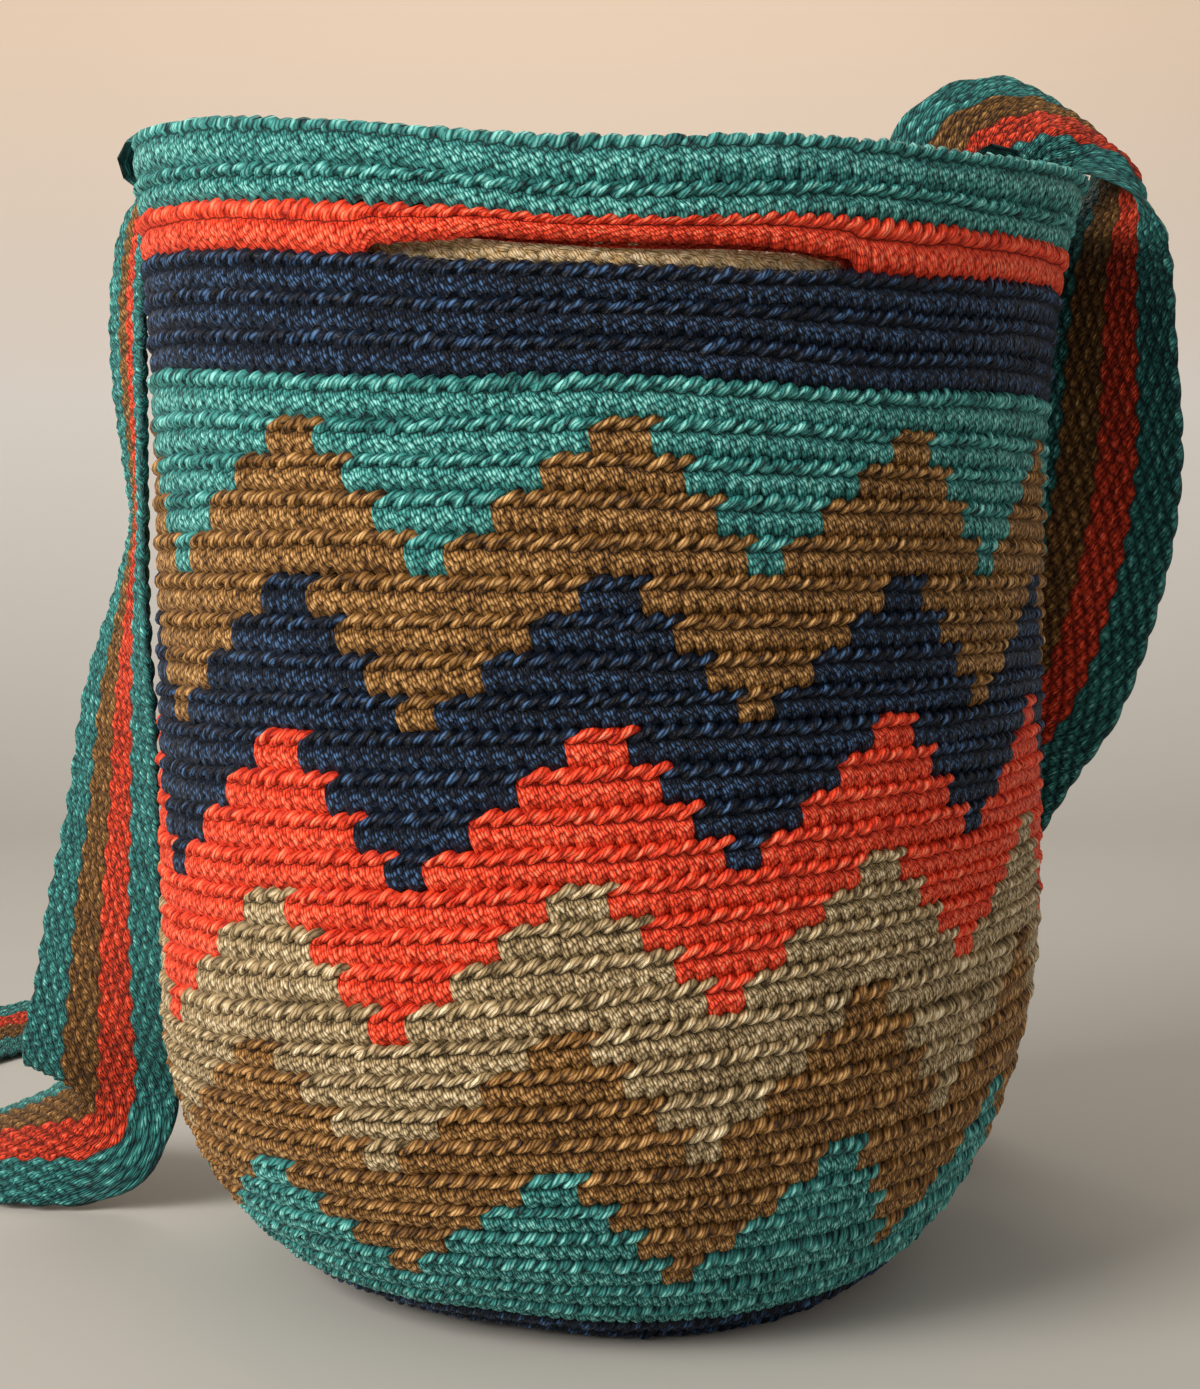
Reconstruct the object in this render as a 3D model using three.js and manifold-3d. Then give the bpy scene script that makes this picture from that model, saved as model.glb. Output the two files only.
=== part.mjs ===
// Crocheted shoulder bag: a round pouch worked in one spiral, a woven strap and a drawstring.
// Millimetres, +Z up. The front is -Y. The origin is the middle of the flat underside.
// An angle around the pouch is measured from the front towards +X.

import * as THREE from 'three';
import { mergeVertices } from 'three/addons/utils/BufferGeometryUtils.js';
import Module from 'manifold-3d';

const wasm = await Module();
wasm.setup();

// Pouch: overall sizes
const POUCH_RADIUS = 123;
const RIM_HEIGHT = 303;
const WALL = 4.5;
const FOOT_RADIUS = 58;
const CORNER_HEIGHT = 92;

// Pouch: how the soft cloth settles
const CORNER_UNEVEN = 14;
const RIM_WIDEN = 9;
const RIM_NARROW = 7;
const RIM_LOPSIDED = 3;
const RIM_TILT = 5.5;
const RIM_DIP = 6.5;
const TILT_STARTS = 130;
const DIP_STARTS = 200;

// Slots for the drawstring
const ROUND_PITCH = 9.1;
const ROUNDS_ABOVE_SLOT = 3;
const SLOT_HEIGHT = 7;
const SLOT_END_OPENING = 0.35;
const SLOT_STEPS = 26;
const FRONT_SLOT = { from: -27.5, to: 30 };
const BACK_SLOT = { from: 151, to: 209 };

// Strap
const STRAP_WIDTH = 53;
const STRAP_THICKNESS = 4;
const STRAP_STEPS = 132;
const STRAP_SPANS = 6;
// The strap's route was laid out on these sizes, and its first and last rows lie inside the wall
const LAID_OUT_ON = { radius: 123, height: 303, wall: 4.5, width: 53, thickness: 4 };
const ROWS_INSIDE = 4;
const FOLLOWS_RIM_ABOVE = 250;

// Stitching that holds the strap's ends
const SEAM_HEIGHT = 6;
const SEAM_THICKNESS = 1.6;
const SEAM_ABOVE_END = 1.5;
const SEAM_BESIDE_EDGE = 1.5;

// Drawstring
const CORD_DIAMETER = 5.5;
const CORD_HALF_SIDES = 5;
const CORD_STEPS = 76;
const KNOT_DIAMETER = 12;
const BRUSH_LENGTH = 17;

// Room left between pieces that touch
const GAP = 0.3;

// How finely the curved faces are divided
const POUCH_SEGMENTS = 72;
const WALL_STEPS = 9;
const CORNER_STEPS = 16;
const RIM_TURNS = [45, 90, 135, 180];
const SEAM_STEPS = 8;
const TAIL_SEGMENTS = 14;

const SLOT_MIDDLE = RIM_HEIGHT - ROUNDS_ABOVE_SLOT * ROUND_PITCH - SLOT_HEIGHT / 2;

// The strap's route, from its right end inside the rim to its left end inside the rim.
// Each row is a place on its middle line, the way across it towards the teal stripe beside
// the coral one, and how far it curls across its width, in degrees.
const STRAP_ROUTE = [
  { at: [122.4, 19.6, 280], across: [0.2, -0.98, 0], curl: -30 },
  { at: [121.8, 19.6, 292], across: [0.2, -0.98, 0], curl: -30 },
  { at: [111, 21, 300], across: [0.2, -0.97, -0.12], curl: -12 },
  { at: [98, 23, 309], across: [0.2, -0.86, -0.46], curl: 4 },
  { at: [99, 24, 322], across: [0.2, -0.81, -0.55], curl: 12 },
  { at: [113, 24, 331], across: [0.2, -0.78, -0.58], curl: 18 },
  { at: [130, 23, 330], across: [0.22, -0.78, -0.58], curl: 20 },
  { at: [142, 22, 319], across: [0.3, -0.84, -0.45], curl: 14 },
  { at: [147, 20, 304], across: [0.5, -0.82, -0.3], curl: 4 },
  { at: [147, 20, 286], across: [0.7, -0.71, -0.1], curl: -10 },
  { at: [147, 22, 262], across: [0.79, -0.61, 0], curl: -18 },
  { at: [147, 33, 224], across: [0.93, -0.37, 0], curl: -18 },
  { at: [143, 43, 190], across: [0.97, -0.25, 0], curl: -14 },
  { at: [136, 53, 161], across: [0.93, -0.37, 0], curl: -10 },
  { at: [128, 63, 144], across: [0.88, -0.47, 0], curl: -8 },
  { at: [117, 77, 118], across: [0.82, -0.57, 0], curl: 0 },
  { at: [109, 94, 86], across: [0.86, -0.5, 0], curl: 0 },
  { at: [104, 114, 54], across: [0.95, -0.3, 0], curl: 0 },
  { at: [96, 136, 25], across: [0.98, 0.15, 0], curl: 0 },
  { at: [76, 160, 7], across: [0.8, 0.6, 0], curl: 0 },
  { at: [44, 184, 2.6], across: [0.58, 0.81, 0], curl: 0 },
  { at: [2, 213, 2.6], across: [0.52, 0.85, 0], curl: 0 },
  { at: [-46, 242, 3.6], across: [0.46, 0.89, 0.03], curl: 0 },
  { at: [-96, 266, 6.3], across: [0.38, 0.92, 0.12], curl: 6 },
  { at: [-148, 284, 8.7], across: [0.18, 0.97, 0.2], curl: 12 },
  { at: [-204, 288, 8.9], across: [-0.14, 0.97, 0.2], curl: 14 },
  { at: [-248, 264, 7], across: [-0.7, 0.7, 0.14], curl: 10 },
  { at: [-270, 218, 4.6], across: [-0.97, 0.22, 0.06], curl: 4 },
  { at: [-268, 164, 2.8], across: [-0.98, -0.17, 0], curl: 0 },
  { at: [-248, 116, 4.2], across: [-0.85, -0.52, -0.03], curl: 6 },
  { at: [-220, 84, 9.4], across: [-0.58, -0.78, -0.18], curl: 20 },
  { at: [-191, 61, 17.4], across: [-0.3, -0.85, -0.42], curl: 36 },
  { at: [-167, 44, 25], across: [0.2, -0.76, -0.6], curl: 40 },
  { at: [-153, 34, 33], across: [0.74, -0.42, -0.5], curl: 26 },
  { at: [-150, 28, 48], across: [0.97, -0.2, -0.12], curl: 12 },
  { at: [-149, 22, 69], across: [0.9, -0.43, 0], curl: 8 },
  { at: [-149, 19, 97], across: [0.79, -0.61, 0], curl: 6 },
  { at: [-147, 21, 125], across: [0.68, -0.73, 0], curl: 4 },
  { at: [-145, 22, 156], across: [0.58, -0.81, 0], curl: 4 },
  { at: [-139.5, 20, 186], across: [0.36, -0.93, 0], curl: 0 },
  { at: [-137, 19, 211], across: [0.23, -0.97, 0], curl: -4 },
  { at: [-139, 19, 230], across: [0.26, -0.96, 0], curl: -8 },
  { at: [-142, 20, 255], across: [0.33, -0.94, 0], curl: -12 },
  { at: [-143.5, 20, 281], across: [0.33, -0.94, 0], curl: -12 },
  { at: [-141.5, 20, 305], across: [0.18, -0.98, 0], curl: -4 },
  { at: [-137, 20, 318], across: [0.1, -0.99, 0], curl: 0 },
  { at: [-129, 20, 322.2], across: [0, -1, 0], curl: -6 },
  { at: [-118.4, 20, 317], across: [-0.13, -0.99, 0], curl: -24 },
  { at: [-117.6, 19.8, 304], across: [-0.19, -0.98, 0], curl: -28 },
  { at: [-118.2, 19.6, 294], across: [-0.19, -0.98, 0], curl: -29 },
  { at: [-118.2, 19.6, 284.5], across: [-0.19, -0.98, 0], curl: -29 },
];

// The drawstring's route: up the left tail at the back, in through the back slot, round the
// inside of the wall, along the front slot, round the other side and out again.
const CORD_ROUTE = [
  [-21, 124.3, 156],
  [-21.5, 123.6, 180],
  [-21, 122.9, 204],
  [-19.5, 122.6, 228],
  [-18.5, 124, 246],
  [-19.5, 124.4, 258],
  [-21.5, 121.7, 267.8],
  [-25.5, 115.2, 269.5],
  [-31, 109.4, 269.4],
  [-43, 103.2, 270.6],
  [-60.4, 95.8, 272.3],
  [-77.4, 84.8, 274.3],
  [-92, 71.1, 276.4],
  [-103.4, 55.1, 277.8],
  [-114.8, 30, 278],
  [-115.8, 19, 277],
  [-118.6, -8, 277.6],
  [-112.4, -37.6, 277.4],
  [-103.6, -55.2, 276.6],
  [-92, -71.1, 275.6],
  [-77.4, -84.8, 274],
  [-60.4, -95.8, 272.3],
  [-41.4, -104, 270.5],
  [-22, -110.8, 269.1],
  [0, -113.8, 268],
  [23, -110.8, 267.4],
  [41.7, -104, 267.4],
  [61, -95.9, 267.8],
  [78.5, -84.8, 268.6],
  [93.7, -71.1, 269.5],
  [106.1, -55.3, 270.4],
  [115.2, -37.8, 271.2],
  [122, -10, 271.6],
  [120.8, 19.2, 271.6],
  [115.2, 37.8, 271.2],
  [106.1, 55.3, 270.4],
  [93.7, 71.1, 269.5],
  [78.5, 84.8, 268.6],
  [61, 95.8, 267.8],
  [43, 103.3, 267.5],
  [31, 109.5, 267.6],
  [25.5, 115.4, 268.1],
  [21.5, 121.2, 265.2],
  [19.5, 124.4, 257],
  [19, 124, 245],
  [20, 122.6, 228],
  [21.5, 122.9, 204],
  [22, 123.6, 180],
  [22, 124.2, 162],
];

// Yarn colours
const TEAL = 0x5fb3ae;
const NAVY = 0x1e3450;
const CREAM = 0xc9b183;
const YARN_ROUGHNESS = 0.9;

const clamp01 = (value) => Math.min(1, Math.max(0, value));

// How much of its rim shape the wall has taken on, at a share of the way up it
const wallFlare = (onWall) => clamp01(onWall) ** 2.2;

// Where the settled cloth lies: angle round the pouch, radius and height of the plain round form.
// The rounded bottom corner is fuller on the left, and the rim is wider than deep and dips.
function settle(angle, radius, height) {
  const inCorner = Math.min(height, CORNER_HEIGHT) / CORNER_HEIGHT;
  const onWall = Math.max(0, height - CORNER_HEIGHT) / (RIM_HEIGHT - CORNER_HEIGHT);
  const uneven = CORNER_UNEVEN * Math.sin(angle) * inCorner * clamp01(1 - onWall) ** 3;
  const tilt = RIM_TILT * clamp01((height - TILT_STARTS) / (RIM_HEIGHT - TILT_STARTS));
  const dip = RIM_DIP * clamp01((height - DIP_STARTS) / (RIM_HEIGHT - DIP_STARTS)) ** 1.2;
  const flare = wallFlare(onWall);
  const side = Math.sin(angle);
  const widen = 1 + (RIM_WIDEN * flare + RIM_LOPSIDED * side * flare ** 2) / POUCH_RADIUS;
  const narrow = 1 - (RIM_NARROW * flare) / POUCH_RADIUS;
  return new THREE.Vector3(
    radius * widen * side,
    -radius * narrow * Math.cos(angle),
    height + uneven - tilt * side - dip * Math.cos(2 * angle),
  );
}

// Half section of the plain round pouch: underside, corner, wall, rim, and back down inside
function pouchSection() {
  const path = new THREE.Path();
  const cornerWidth = POUCH_RADIUS - FOOT_RADIUS;
  const rimRadius = WALL / 2;
  path.moveTo(0, 0);
  path.lineTo(FOOT_RADIUS, 0);
  path.absellipse(FOOT_RADIUS, CORNER_HEIGHT, cornerWidth, CORNER_HEIGHT, -Math.PI / 2, 0, false, 0);
  const section = path.getSpacedPoints(CORNER_STEPS);
  const wallRise = RIM_HEIGHT - rimRadius - CORNER_HEIGHT;
  for (let step = 1; step <= WALL_STEPS; step += 1) {
    const rise = wallRise * (step / WALL_STEPS);
    section.push(new THREE.Vector2(POUCH_RADIUS, CORNER_HEIGHT + rise));
  }
  for (const turn of RIM_TURNS) {
    const angle = THREE.MathUtils.degToRad(turn);
    const out = POUCH_RADIUS - rimRadius + rimRadius * Math.cos(angle);
    section.push(new THREE.Vector2(out, RIM_HEIGHT - rimRadius + rimRadius * Math.sin(angle)));
  }
  const inside = new THREE.Path();
  inside.absellipse(
    FOOT_RADIUS, CORNER_HEIGHT, cornerWidth - WALL, CORNER_HEIGHT - WALL, 0, -Math.PI / 2, true, 0,
  );
  inside.lineTo(0, WALL);
  for (let step = WALL_STEPS - 1; step >= 1; step -= 1) {
    const rise = wallRise * (step / WALL_STEPS);
    section.push(new THREE.Vector2(POUCH_RADIUS - WALL, CORNER_HEIGHT + rise));
  }
  section.push(...inside.getSpacedPoints(CORNER_STEPS));
  section[0].x = 0;
  section[section.length - 1].x = 0;
  return section;
}

// Moves each point of a geometry turned about Z from the plain round form to the settled one
function settleGeometry(geometry) {
  const places = geometry.getAttribute('position');
  const point = new THREE.Vector3();
  for (let i = 0; i < places.count; i += 1) {
    point.fromBufferAttribute(places, i);
    const radius = Math.hypot(point.x, point.y);
    const angle = Math.atan2(point.x, -point.y);
    const settled = settle(angle, radius, point.z);
    places.setXYZ(i, settled.x, settled.y, settled.z);
  }
  return geometry;
}

// A closed geometry as a solid for cutting
function toSolid(geometry) {
  const bare = geometry.clone();
  bare.deleteAttribute('normal');
  bare.deleteAttribute('uv');
  const merged = mergeVertices(bare, 1e-4);
  const corners = merged.index.array;
  const places = merged.getAttribute('position').array;
  const kept = [];
  for (let i = 0; i < corners.length; i += 3) {
    const [a, b, c] = [corners[i], corners[i + 1], corners[i + 2]];
    if (a !== b && b !== c && c !== a) kept.push(a, b, c);
  }
  const mesh = new wasm.Mesh({
    numProp: 3,
    vertProperties: Float32Array.from(places),
    triVerts: Uint32Array.from(kept),
  });
  return new wasm.Manifold(mesh);
}

// A solid back as a geometry
function toGeometry(solid) {
  const mesh = solid.getMesh();
  const geometry = new THREE.BufferGeometry();
  geometry.setAttribute('position', new THREE.BufferAttribute(mesh.vertProperties, 3));
  geometry.setIndex(new THREE.BufferAttribute(mesh.triVerts, 1));
  geometry.computeVertexNormals();
  return geometry;
}

// One long slot between the coral and the navy rounds, narrow at its ends
function slotCutter(slot) {
  const from = THREE.MathUtils.degToRad(slot.from);
  const sweep = THREE.MathUtils.degToRad(slot.to - slot.from);
  const section = [
    [POUCH_RADIUS - 2 * WALL, -SLOT_HEIGHT / 2],
    [POUCH_RADIUS - 2 * WALL, SLOT_HEIGHT / 2],
    [POUCH_RADIUS + WALL, SLOT_HEIGHT / 2],
    [POUCH_RADIUS + WALL, -SLOT_HEIGHT / 2],
  ];
  const places = [];
  for (let step = 0; step <= SLOT_STEPS; step += 1) {
    const share = step / SLOT_STEPS;
    const opened = Math.min(1, SLOT_END_OPENING + 5 * Math.min(share, 1 - share));
    const angle = from + sweep * share;
    for (const [radius, rise] of section) {
      places.push(...settle(angle, radius, SLOT_MIDDLE + rise * opened).toArray());
    }
  }
  return toSolid(loftRings(places, section.length));
}

// Closed body through rings of the same number of points, flat at both ends
function loftRings(places, ringSize) {
  const rings = places.length / 3 / ringSize;
  const corners = [];
  for (let ring = 0; ring < rings - 1; ring += 1) {
    for (let k = 0; k < ringSize; k += 1) {
      const a = ring * ringSize + k;
      const b = ring * ringSize + ((k + 1) % ringSize);
      corners.push(a, b, b + ringSize, a, b + ringSize, a + ringSize);
    }
  }
  const last = (rings - 1) * ringSize;
  for (let k = 1; k < ringSize - 1; k += 1) {
    corners.push(0, k + 1, k);
    corners.push(last, last + k, last + k + 1);
  }
  const geometry = new THREE.BufferGeometry();
  geometry.setAttribute('position', new THREE.Float32BufferAttribute(places, 3));
  geometry.setIndex(corners);
  geometry.computeVertexNormals();
  return geometry;
}

// Pouch: one crocheted piece, base, wall and rim, with a slot at the front and at the back
function pouch() {
  const turned = new THREE.LatheGeometry(pouchSection(), POUCH_SEGMENTS);
  turned.rotateX(Math.PI / 2);
  let solid = toSolid(settleGeometry(turned));
  for (const slot of [FRONT_SLOT, BACK_SLOT]) {
    solid = solid.subtract(slotCutter(slot));
  }
  return toGeometry(solid);
}

// Where a row of the strap's route lies. It keeps its distance from the wall, the rim and the
// floor when a size differs from the one that the route was laid out on.
function strapPlace(row, index) {
  const [x, y, z] = row.at;
  const away = Math.hypot(x, y);
  const inside = Math.min(index, STRAP_ROUTE.length - 1 - index) < ROWS_INSIDE;
  const thicker = (STRAP_THICKNESS - LAID_OUT_ON.thickness) / 2;
  const wider = (STRAP_WIDTH - LAID_OUT_ON.width) / 2;
  const edgeOn = Math.abs(row.across[0] * x + row.across[1] * y) / away;
  const chordSag = (STRAP_WIDTH ** 2 - LAID_OUT_ON.width ** 2) / (8 * POUCH_RADIUS);
  const flare = (height) => wallFlare(1 - (LAID_OUT_ON.height - z) / (height - CORNER_HEIGHT));
  const lessFlare = RIM_WIDEN * (flare(LAID_OUT_ON.height) - flare(RIM_HEIGHT));
  const inward = WALL - LAID_OUT_ON.wall + thicker + chordSag + lessFlare;
  const fromWall = inside ? -inward : thicker + wider * edgeOn;
  const stretch = 1 + (POUCH_RADIUS - LAID_OUT_ON.radius + fromWall) / away;
  const raised = (RIM_HEIGHT - LAID_OUT_ON.height) * clamp01(z / FOLLOWS_RIM_ABOVE);
  return new THREE.Vector3(x * stretch, y * stretch, z + raised + thicker);
}

// The strap's middle line, the way across it and its curl, as smooth functions of 0 to 1
const strapLine = new THREE.CatmullRomCurve3(
  STRAP_ROUTE.map(strapPlace), false, 'centripetal',
);
const strapAcross = new THREE.CatmullRomCurve3(
  STRAP_ROUTE.map((row) => new THREE.Vector3(...row.across)), false, 'catmullrom', 0.5,
);
const strapCurl = new THREE.CatmullRomCurve3(
  STRAP_ROUTE.map((row) => new THREE.Vector3(row.curl, 0, 0)), false, 'catmullrom', 0.5,
);

// Place, ways and curl of the strap's cross-section at a share of its length
function strapFrame(share) {
  const t = strapLine.getUtoTmapping(share);
  const along = strapLine.getTangent(t);
  const across = strapAcross.getPoint(t);
  across.addScaledVector(along, -across.dot(along)).normalize();
  const out = new THREE.Vector3().crossVectors(across, along).normalize();
  const curl = THREE.MathUtils.degToRad(strapCurl.getPoint(t).x);
  return { middle: strapLine.getPoint(t), across, out, curl };
}

// A point of the strap's cross-section: how far across and how far out of its middle surface
function strapPoint(frame, aside, rise) {
  const bend = frame.curl / LAID_OUT_ON.width;
  const turn = bend * aside;
  const flat = Math.abs(bend) < 1e-6;
  const acrossPart = flat ? aside : Math.sin(turn) / bend;
  const outPart = flat ? 0 : (Math.cos(turn) - 1) / bend;
  return frame.middle.clone()
    .addScaledVector(frame.across, acrossPart + rise * Math.sin(turn))
    .addScaledVector(frame.out, outPart + rise * Math.cos(turn));
}

// Strap: one woven band with soft edges
function strap() {
  const half = STRAP_WIDTH / 2;
  const face = STRAP_THICKNESS / 2;
  const flatHalf = half - face / 2;
  const ring = [];
  for (let span = 0; span <= STRAP_SPANS; span += 1) {
    ring.push([flatHalf * ((2 * span) / STRAP_SPANS - 1), face]);
  }
  ring.push([half, 0]);
  for (let span = 0; span <= STRAP_SPANS; span += 1) {
    ring.push([flatHalf * (1 - (2 * span) / STRAP_SPANS), -face]);
  }
  ring.push([-half, 0]);
  const places = [];
  for (let step = 0; step <= STRAP_STEPS; step += 1) {
    const frame = strapFrame(step / STRAP_STEPS);
    for (const [aside, rise] of ring) {
      places.push(...strapPoint(frame, aside, rise).toArray());
    }
  }
  return loftRings(places, ring.length);
}

// A band of sewing yarn across the strap's end, on the face away from the wall
function strapSeam(atStart) {
  const end = strapFrame(atStart ? 0 : 1);
  const next = strapFrame(atStart ? 1 / STRAP_STEPS : 1 - 1 / STRAP_STEPS);
  const facet = end.middle.distanceTo(next.middle);
  const low = STRAP_THICKNESS / 2 + GAP;
  const high = low + SEAM_THICKNESS;
  const half = STRAP_WIDTH / 2 - SEAM_BESIDE_EDGE;
  const places = [];
  for (let span = 0; span <= SEAM_STEPS; span += 1) {
    const aside = half * ((2 * span) / SEAM_STEPS - 1);
    const corners = [
      [SEAM_ABOVE_END, low], [SEAM_ABOVE_END, high],
      [SEAM_ABOVE_END + SEAM_HEIGHT, high], [SEAM_ABOVE_END + SEAM_HEIGHT, low],
    ];
    for (const [run, rise] of corners) {
      const place = strapPoint(end, aside, rise).lerp(strapPoint(next, aside, rise), run / facet);
      places.push(...place.toArray());
    }
  }
  const geometry = loftRings(places, 4);
  if (atStart) flipFaces(geometry);
  return geometry;
}

// Turns a geometry's faces over
function flipFaces(geometry) {
  const corners = geometry.index.array;
  for (let i = 0; i < corners.length; i += 3) {
    [corners[i + 1], corners[i + 2]] = [corners[i + 2], corners[i + 1]];
  }
  geometry.computeVertexNormals();
}

// Drawstring: one plaited cord along its route
function drawstring() {
  const route = new THREE.CatmullRomCurve3(
    CORD_ROUTE.map((place) => new THREE.Vector3(...place)), false, 'centripetal',
  );
  const section = new THREE.Shape();
  section.absarc(0, 0, CORD_DIAMETER / 2, 0, 2 * Math.PI, false);
  return new THREE.ExtrudeGeometry(section, {
    steps: CORD_STEPS,
    curveSegments: CORD_HALF_SIDES,
    bevelEnabled: false,
    extrudePath: route,
  });
}

// Knot in the end of the cord with the loose yarn ends below it
function tailEnd() {
  const knot = KNOT_DIAMETER / 2;
  const profile = [
    new THREE.Vector2(0, -KNOT_DIAMETER - BRUSH_LENGTH),
    new THREE.Vector2(0.75 * knot, -KNOT_DIAMETER - BRUSH_LENGTH),
    new THREE.Vector2(0.62 * knot, -KNOT_DIAMETER - 0.3 * BRUSH_LENGTH),
    new THREE.Vector2(0.5 * knot, -0.93 * KNOT_DIAMETER),
    new THREE.Vector2(0.9 * knot, -0.75 * KNOT_DIAMETER),
    new THREE.Vector2(knot, -0.5 * KNOT_DIAMETER),
    new THREE.Vector2(0.9 * knot, -0.25 * KNOT_DIAMETER),
    new THREE.Vector2(0.5 * knot, 0),
    new THREE.Vector2(0, 0),
  ];
  const geometry = new THREE.LatheGeometry(profile, TAIL_SEGMENTS);
  geometry.rotateX(Math.PI / 2);
  return geometry;
}

function yarn(color) {
  return new THREE.MeshStandardMaterial({ color, roughness: YARN_ROUGHNESS, metalness: 0 });
}

function piece(name, geometry, color) {
  const mesh = new THREE.Mesh(geometry, yarn(color));
  mesh.name = name;
  return mesh;
}

const bag = new THREE.Group();
bag.add(piece('pouch', pouch(), NAVY));
bag.add(piece('strap', strap(), TEAL));
bag.add(piece('strap_seam_right', strapSeam(true), TEAL));
bag.add(piece('strap_seam_left', strapSeam(false), TEAL));
bag.add(piece('drawstring', drawstring(), CREAM));

const tailRoom = KNOT_DIAMETER / 2 - CORD_DIAMETER / 2;
for (const [name, place] of [
  ['tail_end_left', CORD_ROUTE[0]],
  ['tail_end_right', CORD_ROUTE[CORD_ROUTE.length - 1]],
]) {
  const end = piece(name, tailEnd(), CREAM);
  end.position.set(place[0], place[1] + tailRoom, place[2] - GAP);
  bag.add(end);
}

export default bag;
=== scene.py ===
"""Crocheted shoulder bag standing open, with a woven strap and a plaited drawstring.

Lengths in the making are millimetres and are turned to metres where a mesh is made.
The front is -Y, +Z is up, and the origin is the middle of the flat underside.
"""
import math

import bmesh
import bpy
import numpy as np
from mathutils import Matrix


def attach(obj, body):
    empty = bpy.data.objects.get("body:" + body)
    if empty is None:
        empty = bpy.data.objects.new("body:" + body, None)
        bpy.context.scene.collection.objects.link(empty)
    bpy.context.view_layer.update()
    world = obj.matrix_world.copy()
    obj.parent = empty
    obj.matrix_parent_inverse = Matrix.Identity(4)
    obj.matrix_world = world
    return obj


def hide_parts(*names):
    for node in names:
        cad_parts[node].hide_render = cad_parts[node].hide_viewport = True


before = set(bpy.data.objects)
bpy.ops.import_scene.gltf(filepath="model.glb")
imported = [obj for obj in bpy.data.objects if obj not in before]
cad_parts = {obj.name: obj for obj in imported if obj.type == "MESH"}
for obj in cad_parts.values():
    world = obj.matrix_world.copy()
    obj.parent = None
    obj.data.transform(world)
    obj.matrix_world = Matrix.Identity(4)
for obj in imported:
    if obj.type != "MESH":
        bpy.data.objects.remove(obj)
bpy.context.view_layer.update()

MM = 0.001

# Camera
CAMERA_PLACE = (0.0, -0.615, 0.194)
CAMERA_DOWN_DEG = 3.17
CAMERA_LENS = 64.65
SENSOR_WIDTH = 36.0


def add_camera():
    """The viewpoint of the photograph, level with the middle of the bag."""
    lens = bpy.data.cameras.new("camera")
    lens.sensor_fit = "HORIZONTAL"
    lens.sensor_width = SENSOR_WIDTH
    lens.lens = CAMERA_LENS
    lens.clip_start = 0.01
    camera = bpy.data.objects.new("camera", lens)
    camera.location = CAMERA_PLACE
    camera.rotation_euler = (math.radians(90 - CAMERA_DOWN_DEG), 0, 0)
    bpy.context.scene.collection.objects.link(camera)
    bpy.context.scene.camera = camera


add_camera()

# Sizes of the bag, in mm
POUCH_RADIUS = 123.0
RIM_HEIGHT = 303.0
WALL = 4.5
FOOT_RADIUS = 58.0
CORNER_HEIGHT = 92.0
CORNER_UNEVEN = 14.0
RIM_WIDEN = 9.0
RIM_NARROW = 7.0
RIM_LOPSIDED = 3.0
RIM_TILT = 5.5
RIM_DIP = 6.5
TILT_STARTS = 130.0
DIP_STARTS = 200.0
FLARE_POWER = 6
DIP_POWER = 1.2
# The base lies at least this high above the floor, and the inside ends this far below the rim
FLOOR_GAP = 0.15
INNER_TOP_GAP = 0.6

STITCHES = 170
REPEAT = 17
STITCH_WIDTH = 4.55

STRAP_WIDTH = 53.0
CORD_DIAMETER = 5.5
CORD_LAY = 21.0

TEAL, CORAL, NAVY, BROWN, KHAKI = range(5)

# Mesh helpers


def make_piece(name, sheets, materials, replaced):
    """One mesh from sheets: grids of places with yarn coordinates, depth for painted shade, and colour
    numbers.
    """
    places, faces, yarn_uv, hollow, paint = [], [], [], [], []
    start = 0
    for sheet in sheets:
        rows, cols = sheet["places"].shape[:2]
        number = start + np.arange(rows * cols).reshape(rows, cols)
        quads = np.stack(
            [number[:-1, :-1], number[:-1, 1:], number[1:, 1:], number[1:, :-1]], axis=-1
        ).reshape(-1, 4)
        if sheet.get("turned"):
            quads = quads[:, ::-1]
        colour = np.broadcast_to(sheet["paint"], (rows - 1, cols - 1)).reshape(-1)
        places.append(sheet["places"].reshape(-1, 3))
        faces.append(quads)
        yarn_uv.append(sheet["yarn"].reshape(-1, 2))
        hollow.append(np.broadcast_to(sheet["hollow"], (rows, cols)).reshape(-1))
        paint.append(colour)
        start += rows * cols
    return mesh_object(
        name, np.concatenate(places), np.concatenate(faces), np.concatenate(yarn_uv),
        np.concatenate(hollow), np.concatenate(paint), materials, replaced,
    )


def mesh_object(name, places, faces, yarn_uv, hollow, paint, materials, replaced):
    """A smooth mesh with one material per yarn colour, riding on the bag."""
    mesh = bpy.data.meshes.new(name)
    sides = faces.shape[1]
    mesh.vertices.add(len(places))
    mesh.vertices.foreach_set("co", (places * MM).astype(np.float32).ravel())
    mesh.loops.add(faces.size)
    mesh.loops.foreach_set("vertex_index", faces.astype(np.int32).ravel())
    mesh.polygons.add(len(faces))
    mesh.polygons.foreach_set("loop_start", np.arange(0, faces.size, sides, dtype=np.int32))
    mesh.polygons.foreach_set("material_index", np.asarray(paint, dtype=np.int32))
    mesh.polygons.foreach_set("use_smooth", np.ones(len(faces), dtype=bool))
    layer = mesh.uv_layers.new(name="yarn")
    layer.data.foreach_set("uv", yarn_uv[faces.ravel()].astype(np.float32).ravel())
    # The hollow attribute darkens the yarn colour as painted shade in the hollows
    depth = mesh.attributes.new("hollow", "FLOAT", "POINT")
    depth.data.foreach_set("value", np.asarray(hollow, dtype=np.float32))
    for material in materials:
        mesh.materials.append(material)
    mesh.update()
    mesh.validate(clean_customdata=False)
    piece = bpy.data.objects.new(name, mesh)
    bpy.context.scene.collection.objects.link(piece)
    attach(piece, "root")
    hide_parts(*replaced)
    return piece


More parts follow.
